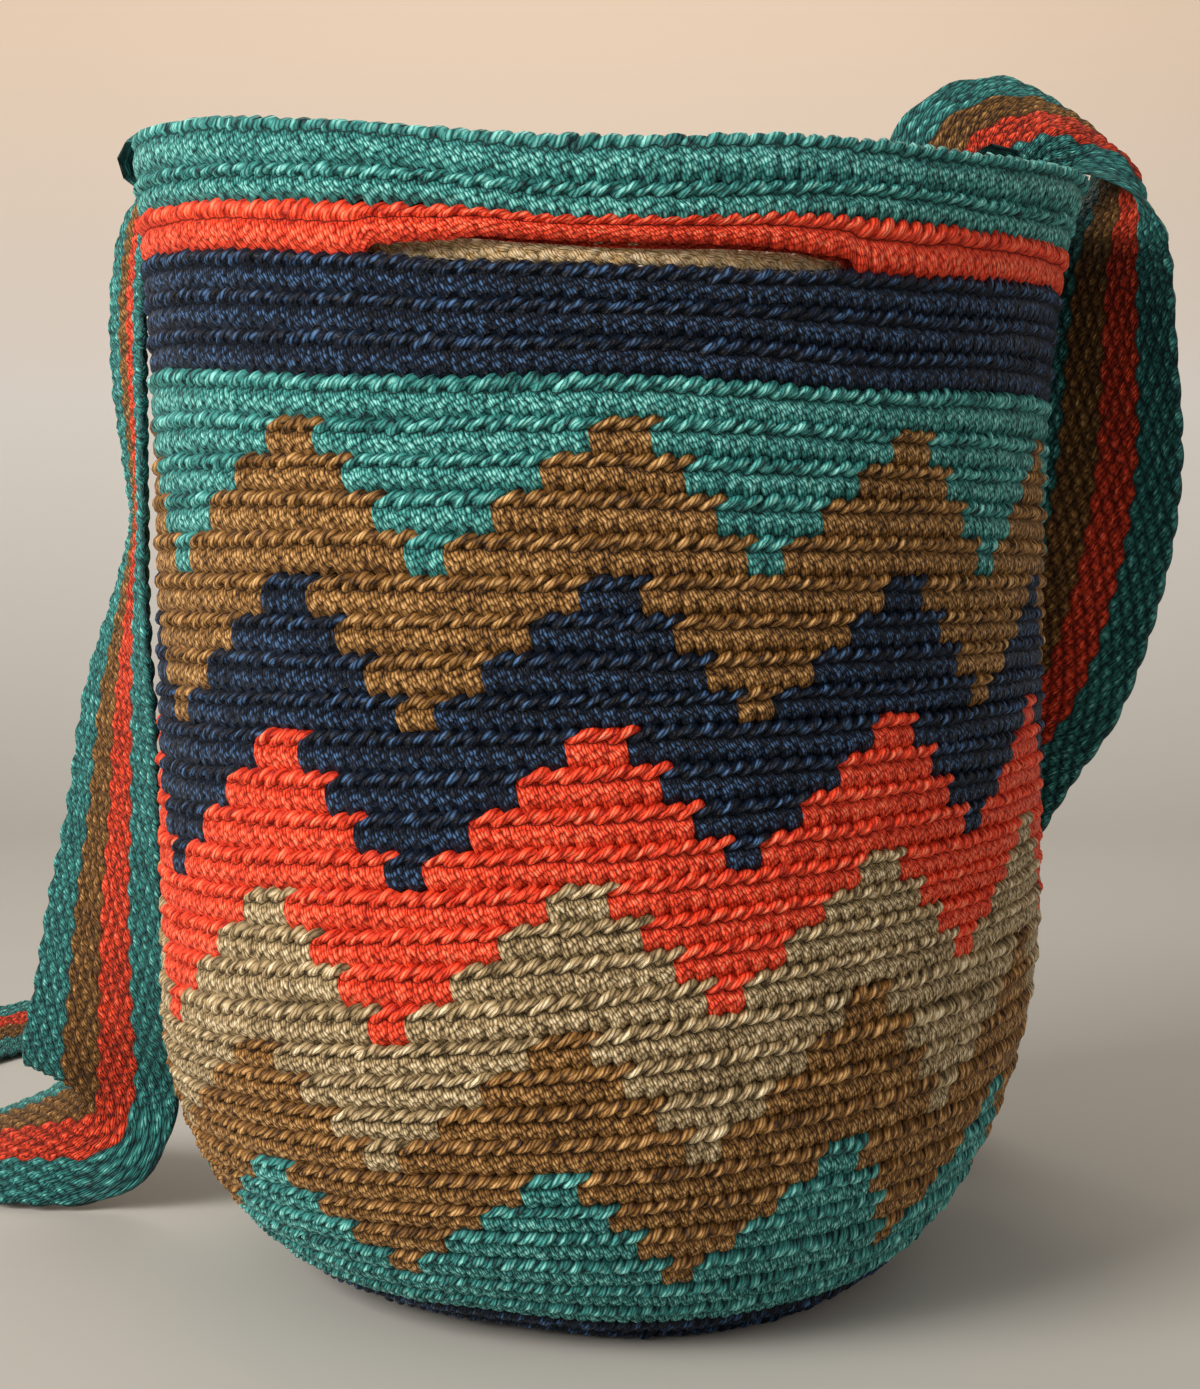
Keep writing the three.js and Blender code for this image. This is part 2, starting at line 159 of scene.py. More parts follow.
def join_touching(piece):
    """Joins vertices that lie on one another, so that two faces share their edges."""
    mesh = bmesh.new()
    mesh.from_mesh(piece.data)
    bmesh.ops.remove_doubles(mesh, verts=mesh.verts, dist=1e-6)
    mesh.to_mesh(piece.data)
    mesh.free()


def tube_sheet(line, radius, sides, pitch_uv=1.0, colour=0, hollow=0.2, start_uv=0.0):
    """A round yarn along a line of places; its radius may change along the way."""
    line = np.asarray(line, float)
    along = np.gradient(line, axis=0)
    along /= np.linalg.norm(along, axis=1, keepdims=True) + 1e-9
    side = np.cross(along, np.array([0.31, 0.52, 0.79]))
    side /= np.linalg.norm(side, axis=1, keepdims=True) + 1e-9
    for k in range(1, len(line)):
        carried = side[k - 1] - along[k] * np.dot(side[k - 1], along[k])
        side[k] = carried / (np.linalg.norm(carried) + 1e-9)
    up = np.cross(along, side)
    turn = np.linspace(0, 2 * np.pi, sides + 1)
    radius = np.broadcast_to(radius, (len(line),))
    ring = (np.cos(turn)[None, :, None] * side[:, None, :]
            + np.sin(turn)[None, :, None] * up[:, None, :])
    places = line[:, None, :] + radius[:, None, None] * ring
    run = np.concatenate([[0], np.cumsum(np.linalg.norm(np.diff(line, axis=0), axis=1))])
    across = turn / (2 * np.pi) * pitch_uv
    yarn = np.stack(np.broadcast_arrays(across[None, :], run[:, None] + start_uv), axis=-1)
    return {"places": places, "yarn": yarn, "hollow": hollow, "paint": colour}


# The pouch's settled form


def settle(angle, radius, height):
    """Where the soft cloth lies, from the plain round form: angle, radius and height."""
    in_corner = np.minimum(height, CORNER_HEIGHT) / CORNER_HEIGHT
    on_wall = np.maximum(0, height - CORNER_HEIGHT) / (RIM_HEIGHT - CORNER_HEIGHT)
    side = np.sin(angle)
    uneven = CORNER_UNEVEN * side * in_corner * np.clip(1 - on_wall, 0, 1) ** 3
    tilt = RIM_TILT * np.clip((height - TILT_STARTS) / (RIM_HEIGHT - TILT_STARTS), 0, 1)
    dip = RIM_DIP * np.clip((height - DIP_STARTS) / (RIM_HEIGHT - DIP_STARTS), 0, 1) ** DIP_POWER
    flare = np.clip(on_wall, 0, 1) ** FLARE_POWER
    widen = 1 + (RIM_WIDEN * flare + RIM_LOPSIDED * side * flare ** 2) / POUCH_RADIUS
    narrow = 1 - RIM_NARROW * flare / POUCH_RADIUS
    return np.stack([
        radius * widen * side,
        -radius * narrow * np.cos(angle),
        height + uneven - tilt * side - dip * np.cos(2 * angle),
    ], axis=-1)


CORNER_STEPS = 120
RIM_STEPS = 24


def outer_section():
    """The pouch's half section from the middle of the base to just inside the rim."""
    turn = np.linspace(-np.pi / 2, 0, CORNER_STEPS)
    wide = POUCH_RADIUS - FOOT_RADIUS
    radius = [np.array([0.0]), FOOT_RADIUS + wide * np.cos(turn)]
    height = [np.array([0.0]), CORNER_HEIGHT * (1 + np.sin(turn))]
    way_out = np.cos(turn) / wide
    way_down = np.sin(turn) / CORNER_HEIGHT
    size = np.hypot(way_out, way_down)
    out = [np.array([0.0]), way_out / size]
    up = [np.array([-1.0]), way_down / size]
    rim = WALL / 2
    over = np.linspace(0, np.pi, RIM_STEPS)
    radius.append(POUCH_RADIUS - rim + rim * np.cos(over))
    height.append(RIM_HEIGHT - rim + rim * np.sin(over))
    out.append(np.cos(over))
    up.append(np.sin(over))
    section = [np.concatenate(part) for part in (radius, height, out, up)]
    step = np.hypot(np.diff(section[0]), np.diff(section[1]))
    return np.concatenate([[0], np.cumsum(step)]), section


SECTION_RUN, SECTION = outer_section()
# The run at the top of the straight wall, where the rim starts to turn over
WALL_TOP_RUN = np.interp(RIM_HEIGHT - WALL / 2 - 0.01, SECTION[1][:CORNER_STEPS + 2],
                         SECTION_RUN[:CORNER_STEPS + 2])


def skin(angle, run, rise, inner=False):
    """The place at a run up the section from the base's middle, rise mm out of the cloth."""
    if inner:
        over = np.maximum(0, run - WALL_TOP_RUN)
        run = np.minimum(run, WALL_TOP_RUN)
    radius, height, out, up = (np.interp(run, SECTION_RUN, part) for part in SECTION)
    if inner:
        height = height + np.minimum(over, WALL / 2 - INNER_TOP_GAP)
    place = settle(angle, radius + rise * out, height + rise * up)
    place[..., 2] = np.maximum(place[..., 2] - sag(np.degrees(angle), run), FLOOR_GAP)
    return place


# The rounds and their pattern

# Heights of the 33 rounds of wall from the rim down, then the even rounds of the base
ROUND_HEIGHTS = [
    13.2, 8.6, 8.5, 10.4, 10.5, 10.9, 10.9, 9.6, 9.2, 9.7, 9.6, 9.1, 8.7, 9.1, 8.0, 9.2, 9.2,
    8.8, 8.5, 8.7, 8.1, 8.8, 8.9, 8.3, 8.8, 8.4, 9.7, 9.2, 8.0, 9.0, 9.2, 9.0, 8.9,
]
RIM_CROWN_RUN = 395.2
ROUND_EDGES = RIM_CROWN_RUN - np.concatenate([[0], np.cumsum(ROUND_HEIGHTS)])
WALL_ROUNDS = len(ROUND_HEIGHTS)
BASE_ROUNDS = 10
BASE_TURN = -8.0

PLAIN_ROUNDS = [TEAL, TEAL, CORAL, NAVY, NAVY, NAVY, TEAL]
BANDS = [(TEAL, BROWN), (BROWN, NAVY), (NAVY, CORAL), (CORAL, KHAKI), (KHAKI, BROWN), (BROWN, TEAL)]
BAND_ROUNDS = 4
BAND_TURN = [2.1, 1.05, -0.3, -2.3, -4.2, -5.6]
PEAK_REACH = [1, 3, 5, 7]
TURN_PER_ROUND = 0.72

# The slots: where they start and end round the pouch in degrees, how far their edges part in
# mm, and how much more of that the lower edge sinks at the left end
SLOTS = [
    {"from": -27.0, "to": 29.0, "raise": 3.5, "lower": 1.2, "lean": 0.5},
    {"from": 151.0, "to": 209.0, "raise": 3.4, "lower": 3.6, "lean": 0.0},
]
SLOT_EDGE = 3
OPENS_WITHIN = {"raise": 30.0, "lower": 3.6}
SLOW_PART = {"raise": 0.4, "lower": 0.0}


def slot_opening(angle_deg, key):
    """How far the slot's upper or lower edge is moved, in mm, at angles round the pouch."""
    moved = np.zeros_like(angle_deg)
    for slot in SLOTS:
        middle = (slot["from"] + slot["to"]) / 2
        away = (angle_deg - middle + 180) % 360 - 180
        share = away / (slot["to"] - slot["from"]) + 0.5
        inside = np.minimum(share, 1 - share)
        soon = np.clip(OPENS_WITHIN[key] * inside, 0, 1)
        late = np.clip(OPENS_WITHIN["lower"] * inside, 0, 1)
        soft = soon * soon * (3 - 2 * soon)
        lean = 1 + slot["lean"] * (1 - 2 * share) * (key == "lower")
        moved += slot[key] * lean * soft * (1 - SLOW_PART[key] * (1 - late))
    return moved


def edge_run(edge, angle_deg, above):
    """The run of a boundary between rounds, moved near the slots."""
    base = ROUND_EDGES[edge] + np.zeros_like(angle_deg)
    if above:
        return base + (slot_opening(angle_deg, "raise") if edge == SLOT_EDGE else 0.0)
    near = max(0.0, 1 - (edge - SLOT_EDGE) / 4)
    return base - near * slot_opening(angle_deg, "lower")


# How far the soft cloth hangs below the even rounds, in mm: angles round the pouch by runs up it
SAG_RUNS = [90.0, 108.0, 134.0, 160.0, 303.0, 333.0, 364.9, 373.4, 395.0]
SAG_ANGLES = [-110, -63, -41, -28, -16, -8, 0, 10, 21, 31, 42, 56, 110, 180]
SAGS = [
    [0.0, 0.0, 0.0, 0.0, 0.0, 1.0, 2.0, 2.8, 3.2, 3.2, 3.0, 2.0, 0.0, 0.0],
    [0.0, 0.0, 0.0, 0.0, 0.0, 0.8, 1.6, 2.2, 2.6, 2.6, 2.4, 1.6, 0.0, 0.0],
    [0.0, 0.0, 0.0, 0.0, 0.0, 0.3, 0.6, 0.8, 1.0, 1.0, 1.0, 0.6, 0.0, 0.0],
    [0.0] * 14,
    [0.0] * 14,
    [1.0, 0.0, 2.2, 2.8, 2.2, 1.0, 0.4, 0.6, 1.5, 2.8, 2.3, 1.6, 1.0, 1.0],
    [4.8, 5.2, 4.5, 4.8, 4.8, 4.8, 4.8, 4.5, 4.8, 4.8, 5.7, 5.2, 4.8, 4.8],
    [1.5, 2.4, 1.7, 0.5, 1.0, 3.3, 3.5, 2.3, 0.2, 0.2, 1.0, 2.3, 1.5, 1.5],
    [2.0, 2.9, 1.5, 1.9, 2.3, 3.2, 2.3, 1.6, 0.0, 1.2, 2.7, 3.4, 2.0, 2.0],
]
SAG_SOFTNESS = 4


def soften_sags():
    """The sags at whole degrees, smoothed round the pouch."""
    degrees = np.arange(-180, 181)
    rows = np.array([np.interp(degrees, SAG_ANGLES, row, period=360) for row in SAGS])
    near = np.arange(-3 * SAG_SOFTNESS, 3 * SAG_SOFTNESS + 1)
    weight = np.exp(-0.5 * (near / SAG_SOFTNESS) ** 2)
    weight /= weight.sum()
    ring = np.concatenate([rows[:, -13:-1], rows, rows[:, 1:13]], axis=1)
    return np.array([np.convolve(row, weight, mode="valid") for row in ring])


SAG_ROWS = soften_sags()


def sag(angle_deg, run):
    """How far the cloth hangs below its even place, in mm."""
    turn = (np.asarray(angle_deg) + 180) % 360
    spot = np.interp(run, SAG_RUNS, np.arange(len(SAG_RUNS)))
    low = np.minimum(spot.astype(int), len(SAG_RUNS) - 2)
    share = spot - low
    here = np.minimum(turn.astype(int), 359)
    part = turn - here
    below = SAG_ROWS[low, here] * (1 - part) + SAG_ROWS[low, here + 1] * part
    above = SAG_ROWS[low + 1, here] * (1 - part) + SAG_ROWS[low + 1, here + 1] * part
    return below * (1 - share) + above * share


def round_turn(number):
    """How far the pattern has crept round the pouch at a round, in degrees."""
    if number < len(PLAIN_ROUNDS):
        return BAND_TURN[0] + 0.5 * TURN_PER_ROUND * (len(PLAIN_ROUNDS) - number)
    band, row = divmod(number - len(PLAIN_ROUNDS), BAND_ROUNDS)
    if band < len(BANDS):
        return BAND_TURN[band] - TURN_PER_ROUND * row
    return BAND_TURN[-1] - TURN_PER_ROUND * (BAND_ROUNDS + row)


def round_colours(number):
    """The yarn of each of a round's stitches."""
    if number < len(PLAIN_ROUNDS):
        return np.full(STITCHES, PLAIN_ROUNDS[number])
    band, row = divmod(number - len(PLAIN_ROUNDS), BAND_ROUNDS)
    if band >= len(BANDS):
        return np.full(STITCHES, TEAL)
    place = (np.arange(STITCHES) - STITCHES // 2 + REPEAT // 2) % REPEAT - REPEAT // 2
    old, new = BANDS[band]
    return np.where(np.abs(place) <= PEAK_REACH[row], new, old)


CROWDED_DEG = 11.0
SPREAD_DEG = 2.2


def uneven_turn(turn_deg):
    """The stitches are wider on the left of the bag and closer on the right."""
    turn = np.radians(turn_deg)
    return turn_deg - CROWDED_DEG * (1 - np.cos(turn)) + SPREAD_DEG * np.sin(turn)


# Crocheted rounds

# Across a round, from its top edge down: the share of its height, how far it stands out,
# how far it leans to the right in stitches, how much of the loop shows, how much painted shade
# its hollow gets, and how far it follows the top and the foot of each loop, in mm
BRAID = np.array([
    [-0.05, -1.6, 0.72, 0.0, 0.90, 1.0, 0.0],
    [0.03, 0.10, 0.62, 0.7, 0.45, 1.2, 0.0],
    [0.11, 1.00, 0.46, 1.0, 0.00, 0.6, 0.0],
    [0.20, 1.20, 0.24, 1.1, 0.00, 0.0, -0.30],
    [0.28, 0.70, 0.02, 0.9, 0.15, 0.0, -0.80],
    [0.345, -0.6, -0.10, 0.3, 0.80, 0.0, -1.15],
    [0.42, 0.10, -0.08, 0.3, 0.35, 0.0, -0.80],
    [0.60, 0.75, 0.00, 0.4, 0.00, 0.0, -0.10],
    [0.82, 0.45, 0.06, 0.7, 0.15, 0.0, -0.55],
    [1.03, -1.2, 0.10, 0.5, 0.85, 0.0, -1.40],
])
INNER = np.array([
    [-0.05, -1.5, 0.30, 0.0, 1.00, 0.0, 0.0],
    [0.20, 0.25, 0.15, 0.6, 0.10, 0.0, 0.0],
    [0.50, 0.45, 0.00, 0.8, 0.00, 0.0, 0.0],
    [0.80, 0.15, -0.15, 0.6, 0.15, 0.0, 0.0],
    [1.03, -1.5, -0.30, 0.0, 1.00, 0.0, 0.0],
])
# The round that hangs free above the slots has a nearly even foot
FREE_BRAID = BRAID * [1, 1, 1, 1, 1, 1, 0.25]
# Where the braid ends and the body starts: the share of the round, and mm on the yarn map
BRAID_FOOT = 0.345
BRAID_MAP = 3.14
OUTER_COLUMNS = np.array([0.0, 0.14, 0.38, 0.62, 0.86])
INNER_COLUMNS = np.array([0.0, 0.3, 0.7])
# Where in a stitch the loop's top and its foot are, as shares of the stitch and of their size
LOOP_TOP = ([0.0, 0.14, 0.38, 0.62, 0.86, 1.0], [0.0, 0.3, 0.85, 1.0, 0.55, 0.0])
LOOP_FOOT = ([0.0, 0.14, 0.38, 0.62, 0.86, 1.0], [0.1, 0.8, 1.0, 0.7, 0.25, 0.1])
# Hand-made unevenness: the round's line wanders slowly and quickly, in mm, with bumps this many
# stitches apart; the loops differ in fullness as a share, and stand out more or less, in mm
SLOW_WANDER, SLOW_STITCHES = 0.28, 9
QUICK_WANDER, QUICK_STITCHES = 0.16, 2
FULLNESS_VARIES = 0.18
STANDING_VARIES = 0.16
LOOP_RISE = 1.05
LOOP_MIDDLE = 0.8
# Painted shade on the sides of each loop, where it turns into the gap beside the next
LOOP_SIDE_PAINTED_SHADE = 0.35
# How far apart two rounds lie on the yarn map, in mm, so that they don't look the same
ROUND_MAP_STEP = 31.7


def smooth_noise(count, spacing, size, wave):
    """A closed row of gentle random bumps, one value per column."""
    knots = wave.normal(0, size, max(3, int(round(count / spacing))))
    knots = np.append(knots, knots[0])
    place = np.linspace(0, len(knots) - 1, count)
    low = np.minimum(place.astype(int), len(knots) - 2)
    share = place - low
    share = share * share * (3 - 2 * share)
    return knots[low] * (1 - share) + knots[low + 1] * share


def crochet_round(number, stitches, colours, turn_deg, edges, section, columns, inner=False):
    """One round of crochet as a sheet; edges gives the runs of its top and bottom edge."""
    wave = np.random.default_rng(100 + number + (1000 if inner else 0))
    per = len(columns)
    stitch = np.repeat(np.arange(stitches), per)
    inside = np.tile(columns, stitches)
    spot = np.append(stitch + inside, stitches)
    inside = np.append(inside, 0.0)
    stitch = np.append(stitch, 0)
    share, rise, lean, loop, hollow, top_reach, foot_reach = section.T
    turn_each = 360.0 / stitches
    turned = (spot[None, :] - stitches / 2 - 0.5 + lean[:, None]) * turn_each + turn_deg
    angle_deg = uneven_turn(turned)
    along_deg = uneven_turn((spot - stitches / 2 - 0.5) * turn_each + turn_deg)
    top, bottom = edges(along_deg)
    wobble = smooth_noise(len(spot), SLOW_STITCHES * per, SLOW_WANDER, wave)
    wobble = wobble + smooth_noise(len(spot), QUICK_STITCHES * per, QUICK_WANDER, wave)
    height = top - bottom
    tall = (height + sag(along_deg, bottom) - sag(along_deg, top)).mean()
    fullness = 1 + FULLNESS_VARIES * wave.normal(0, 1, stitches)[stitch]
    run = (top[None, :] - share[:, None] * height[None, :] + wobble[None, :]
           + top_reach[:, None] * (np.interp(inside, *LOOP_TOP) * fullness - 0.5)[None, :]
           + foot_reach[:, None] * (np.interp(inside, *LOOP_FOOT) * fullness - 0.5)[None, :])
    round_loop = np.sqrt(np.clip(1 - (2 * inside - 1) ** 2, 0, 1))
    stands = STANDING_VARIES * wave.normal(0, 1, stitches)[stitch]
    bulge = LOOP_RISE * (round_loop - LOOP_MIDDLE) * fullness + stands
    out = rise[:, None] + loop[:, None] * bulge[None, :]
    if inner:
        place = skin(np.radians(angle_deg), run, -WALL - out, inner=True)
    else:
        place = skin(np.radians(angle_deg), run, out)
    along_map = (spot[None, :] + lean[:, None]) * STITCH_WIDTH + ROUND_MAP_STEP * (number + 1)
    down_map = np.where(share < BRAID_FOOT, share * BRAID_MAP / BRAID_FOOT,
                        BRAID_MAP + (share - BRAID_FOOT) * tall)
    yarn = np.stack(np.broadcast_arrays(along_map, down_map[:, None]), axis=-1)
    # Painted shade: darker in the round's hollows and on the sides of each loop
    deep = hollow[:, None] + LOOP_SIDE_PAINTED_SHADE * loop[:, None] * (1 - round_loop)[None, :]
    paint = np.repeat(colours, per)[None, :]
    return {"places": place, "yarn": yarn, "hollow": np.clip(deep, 0, 1), "paint": paint,
            "turned": inner}


def wall_round(number, inner=False):
    """A round of the wall, counted from the rim down."""
    def edges(angle_deg):
        return (edge_run(number, angle_deg, number < SLOT_EDGE),
                edge_run(number + 1, angle_deg, number + 1 <= SLOT_EDGE))
    outer = FREE_BRAID if number == SLOT_EDGE - 1 else BRAID
    return crochet_round(
        number, STITCHES, round_colours(number), round_turn(number), edges,
        INNER if inner else outer, INNER_COLUMNS if inner else OUTER_COLUMNS, inner,
    )


def base_round(number, inner=False):
    """A round of the navy base, counted from the wall towards the middle."""
    high = ROUND_EDGES[-1] * (1 - number / BASE_ROUNDS)
    low = ROUND_EDGES[-1] * (1 - (number + 1) / BASE_ROUNDS)
    stitches = max(6, STITCHES - REPEAT * (number + 1) + 6)

    def edges(angle_deg):
        return np.full_like(angle_deg, high), np.full_like(angle_deg, low)
    return crochet_round(
        WALL_ROUNDS + number, stitches, np.full(stitches, NAVY), BASE_TURN, edges,
        INNER if inner else BRAID, INNER_COLUMNS if inner else OUTER_COLUMNS, inner,
    )


# Materials


def linear(hex_colour):
    """An sRGB hex colour as linear red, green, blue and alpha."""
    parts = [int(hex_colour[i:i + 2], 16) / 255 for i in (1, 3, 5)]
    return [c / 12.92 if c <= 0.04045 else ((c + 0.055) / 1.055) ** 2.4 for c in parts] + [1.0]


def add_node(tree, kind, links=None, **settings):
    """Adds a node, sets its settings, and fills or joins its inputs."""
    node = tree.nodes.new(kind)
    for name, value in settings.items():
        setattr(node, name, value)
    for socket, value in (links or {}).items():
        if isinstance(value, bpy.types.NodeSocket):
            tree.links.new(value, node.inputs[socket])
        else:
            node.inputs[socket].default_value = value
    return node


def cotton_yarn(name, deep, body, light, braided=True, ply_width=0.95, ply_length=3.2,
                lean_deg=28.0, braid_lean_deg=-42.0, hollow_painted_shade=0.7):
    """Mercerised cotton yarn, plied and crocheted: soft sheen, round plies with painted shade in
    the gaps between them and painted highlights on their crowns, and a fine fibre grain along
    each ply. The yarn map is in millimetres."""
    material = bpy.data.materials.new(name)
    material.use_nodes = True
    tree = material.node_tree
    tree.nodes.clear()
    yarn = add_node(tree, "ShaderNodeUVMap", uv_map="yarn").outputs["UV"]
    part = add_node(tree, "ShaderNodeSeparateXYZ", {0: yarn})

    def sums(operation, *values):
        return add_node(tree, "ShaderNodeMath", dict(enumerate(values)), operation=operation).outputs[0]

    # Hand-made waver: no ply runs quite straight
    wander = add_node(tree, "ShaderNodeTexNoise", {"Vector": yarn, "Scale": 0.35, "Detail": 2.0})
    bend = sums("MULTIPLY_ADD", wander.outputs[0], 1.1, -0.55)

    def lay(angle_deg):
        """Across and along a ply that leans by an angle from upright."""
        c, s = math.cos(math.radians(angle_deg)), math.sin(math.radians(angle_deg))
        across = sums("MULTIPLY_ADD", part.outputs[0], c, sums("MULTIPLY_ADD", part.outputs[1], -s, bend))
        along = sums("MULTIPLY_ADD", part.outputs[0], s, sums("MULTIPLY", part.outputs[1], c))
        return across, along

    across, along = lay(lean_deg)
    wide, long = ply_width, ply_length
    # The braid along the top of each round has its own, longer plies that lean the other way
    if braided:
        in_braid = add_node(tree, "ShaderNodeMapRange", {
            "Value": part.outputs[1], "From Min": BRAID_MAP + 0.11, "From Max": BRAID_MAP - 0.14,
            "To Min": 0.0, "To Max": 1.0})
        braid_across, braid_along = lay(braid_lean_deg)
        across = add_node(tree, "ShaderNodeMix", {
            0: in_braid.outputs[0], 2: across, 3: braid_across}, data_type="FLOAT").outputs[0]
        along = add_node(tree, "ShaderNodeMix", {
            0: in_braid.outputs[0], 2: along, 3: braid_along}, data_type="FLOAT").outputs[0]
        wide = sums("MULTIPLY_ADD", in_braid.outputs[0], 0.12, ply_width)
        long = sums("MULTIPLY_ADD", in_braid.outputs[0], 2.2, ply_length)
    # Plies: rounded lengths of yarn, each a little lighter or darker, with painted shade in the gaps
    # between
    cell = add_node(tree, "ShaderNodeCombineXYZ", {
        0: sums("DIVIDE", across, wide), 1: sums("DIVIDE", along, long)})
    plies = add_node(tree, "ShaderNodeTexVoronoi", {
        "Vector": cell.outputs[0], "Scale": 1.0, "Randomness": 0.5}, feature="F1")
    distance = plies.outputs["Distance"]
    rounded = sums("SUBTRACT", 1.0, sums("MULTIPLY", distance, sums("MULTIPLY", distance, 1.9)))
    # Fibre grain along each ply, and slow patches of lighter and darker dye
    grain_place = add_node(tree, "ShaderNodeCombineXYZ", {
        0: sums("MULTIPLY", across, 7.0), 1: sums("MULTIPLY", along, 1.1)})
    grain = add_node(tree, "ShaderNodeTexNoise", {
        "Vector": grain_place.outputs[0], "Scale": 1.0, "Detail": 3.0, "Roughness": 0.6})
    tone = add_node(tree, "ShaderNodeTexNoise", {"Vector": yarn, "Scale": 0.06, "Detail": 3.0})
    cell_tone = add_node(tree, "ShaderNodeSeparateColor", {0: plies.outputs["Color"]})
    height = sums("MULTIPLY_ADD", grain.outputs[0], 0.35, rounded)
    hollow = add_node(tree, "ShaderNodeAttribute", attribute_name="hollow").outputs["Fac"]

    # Painted shade in the gaps rising to painted highlights on the crowns; the modelled hollows between
    # loops get more painted shade
    shade = sums("MULTIPLY_ADD", cell_tone.outputs[0], 0.25, sums("MULTIPLY", height, 0.72))
    shade = sums("MULTIPLY_ADD", tone.outputs[0], 0.3, sums("SUBTRACT", shade, 0.3))
    shade = sums("MULTIPLY", shade, sums("MULTIPLY_ADD", hollow, -hollow_painted_shade, 1.0))
    ramp = add_node(tree, "ShaderNodeValToRGB", {0: shade})
    # The deep stop is the painted shade and the light stop the painted highlight
    stops = ramp.color_ramp.elements
    stops[0].position, stops[0].color = 0.1, linear(deep)
    stops[1].position, stops[1].color = 0.85, linear(light)
    middle = stops.new(0.5)
    middle.color = linear(body)
    bump = add_node(tree, "ShaderNodeBump", {"Strength": 1.0, "Distance": 0.0008, "Height": height})
    shader = add_node(tree, "ShaderNodeBsdfPrincipled", {
        "Base Color": ramp.outputs[0], "Roughness": 0.5, "Normal": bump.outputs[0],
        "IOR": 1.46, "Specular IOR Level": 0.28, "Sheen Weight": 0.1, "Sheen Roughness": 0.4,
        "Sheen Tint": linear(light)})
    add_node(tree, "ShaderNodeOutputMaterial", {0: shader.outputs[0]})
    return material


# Each yarn's deep colour (painted shade), body colour and light colour (painted highlight)
YARNS = {
    "teal": ("#042E32", "#3A928E", "#9CEBE3"),
    "coral": ("#A41A0A", "#FA4B29", "#FF8C68"),
    "navy": ("#000207", "#08162A", "#4870A0"),
    "brown": ("#2E1808", "#8E6430", "#DDB074"),
    "khaki": ("#4A3C26", "#B29A70", "#F4E5C2"),
}
crochet_yarns = [
    cotton_yarn("crocheted_cotton_" + name, *shades, ply_width=0.7, ply_length=1.75)
    for name, shades in YARNS.items()
]
# Painted shade: between the strap's knobs the holes are painted dark, also in the coral
WOVEN_PAINTED_SHADE = {"teal": "#042E32", "coral": "#641208", "brown": "#2E1808"}
woven_yarns = [
    cotton_yarn("woven_cotton_" + name, deep, *YARNS[name][1:], braided=False, ply_width=0.6,
                ply_length=2.2, lean_deg=-28.0, hollow_painted_shade=0.95)
    for name, deep in WOVEN_PAINTED_SHADE.items()
]
# The cord's deep colour is painted shade in the gaps between its plies, its light colour a painted
# highlight on their crowns
cord_yarn = cotton_yarn("plaited_cotton_cream", "#C29B5D", "#FADCAC", "#FFF2D2", braided=False,
                        ply_width=0.6, ply_length=2.2, lean_deg=38.0)

# Pouch

OUTER_PIECES = [("pouch_upper_rounds", 0, 12), ("pouch_middle_rounds", 12, 23),
                ("pouch_lower_rounds", 23, WALL_ROUNDS)]
for name, first, last in OUTER_PIECES:
    make_piece(name, [wall_round(number) for number in range(first, last)],
               crochet_yarns, ["pouch"])
make_piece("pouch_inside", [wall_round(number, inner=True) for number in range(WALL_ROUNDS)],
           crochet_yarns, ["pouch"])
make_piece("pouch_base", [base_round(number) for number in range(BASE_ROUNDS)]
           + [base_round(number, inner=True) for number in range(BASE_ROUNDS)],
           crochet_yarns, ["pouch"])

# Curves through route points


CURVE_STEPS = 24


def through(points, count):
    """Centripetal curve through points: even places, the row number at each, and the length."""
    points = np.asarray(points, float)
    first = 2 * points[0] - points[1]
    last = 2 * points[-1] - points[-2]
    knots = np.vstack([first, points, last])
    places, rows = [], []
    for k in range(len(points) - 1):
        p0, p1, p2, p3 = knots[k:k + 4]
        d0 = np.linalg.norm(p1 - p0) ** 0.5
        d1 = np.linalg.norm(p2 - p1) ** 0.5
        d2 = np.linalg.norm(p3 - p2) ** 0.5
        m1 = ((p1 - p0) / d0 - (p2 - p0) / (d0 + d1) + (p2 - p1) / d1) * d1
        m2 = ((p2 - p1) / d1 - (p3 - p1) / (d1 + d2) + (p3 - p2) / d2) * d1
        t = np.linspace(0, 1, CURVE_STEPS, endpoint=False)[:, None]
        places.append(p1 + m1 * t + (-3 * p1 + 3 * p2 - 2 * m1 - m2) * t ** 2
                      + (2 * p1 - 2 * p2 + m1 + m2) * t ** 3)
        rows.append(k + t[:, 0])
    places = np.vstack(places + [points[-1:]])
    rows = np.concatenate(rows + [[len(points) - 1.0]])
    run = np.concatenate([[0], np.cumsum(np.linalg.norm(np.diff(places, axis=0), axis=1))])
    even = np.linspace(0, run[-1], count)
    return (np.stack([np.interp(even, run, places[:, k]) for k in range(3)], axis=-1),
            np.interp(even, run, rows), run[-1])


def row_blend(values, rows):
    """Smooth values between numbered rows, by the same curve rule as a plain spline."""
    values = np.asarray(values, float)
    if values.ndim == 1:
        values = values[:, None]
    low = np.minimum(rows.astype(int), len(values) - 2)
    t = (rows - low)[:, None]
    padded = np.vstack([2 * values[:1] - values[1:2], values, 2 * values[-1:] - values[-2:-1]])
    p0, p1, p2, p3 = (padded[low + k] for k in range(4))
    return 0.5 * (2 * p1 + (p2 - p0) * t + (2 * p0 - 5 * p1 + 4 * p2 - p3) * t ** 2
                  + (3 * p1 - p0 - 3 * p2 + p3) * t ** 3)


# Drawstring

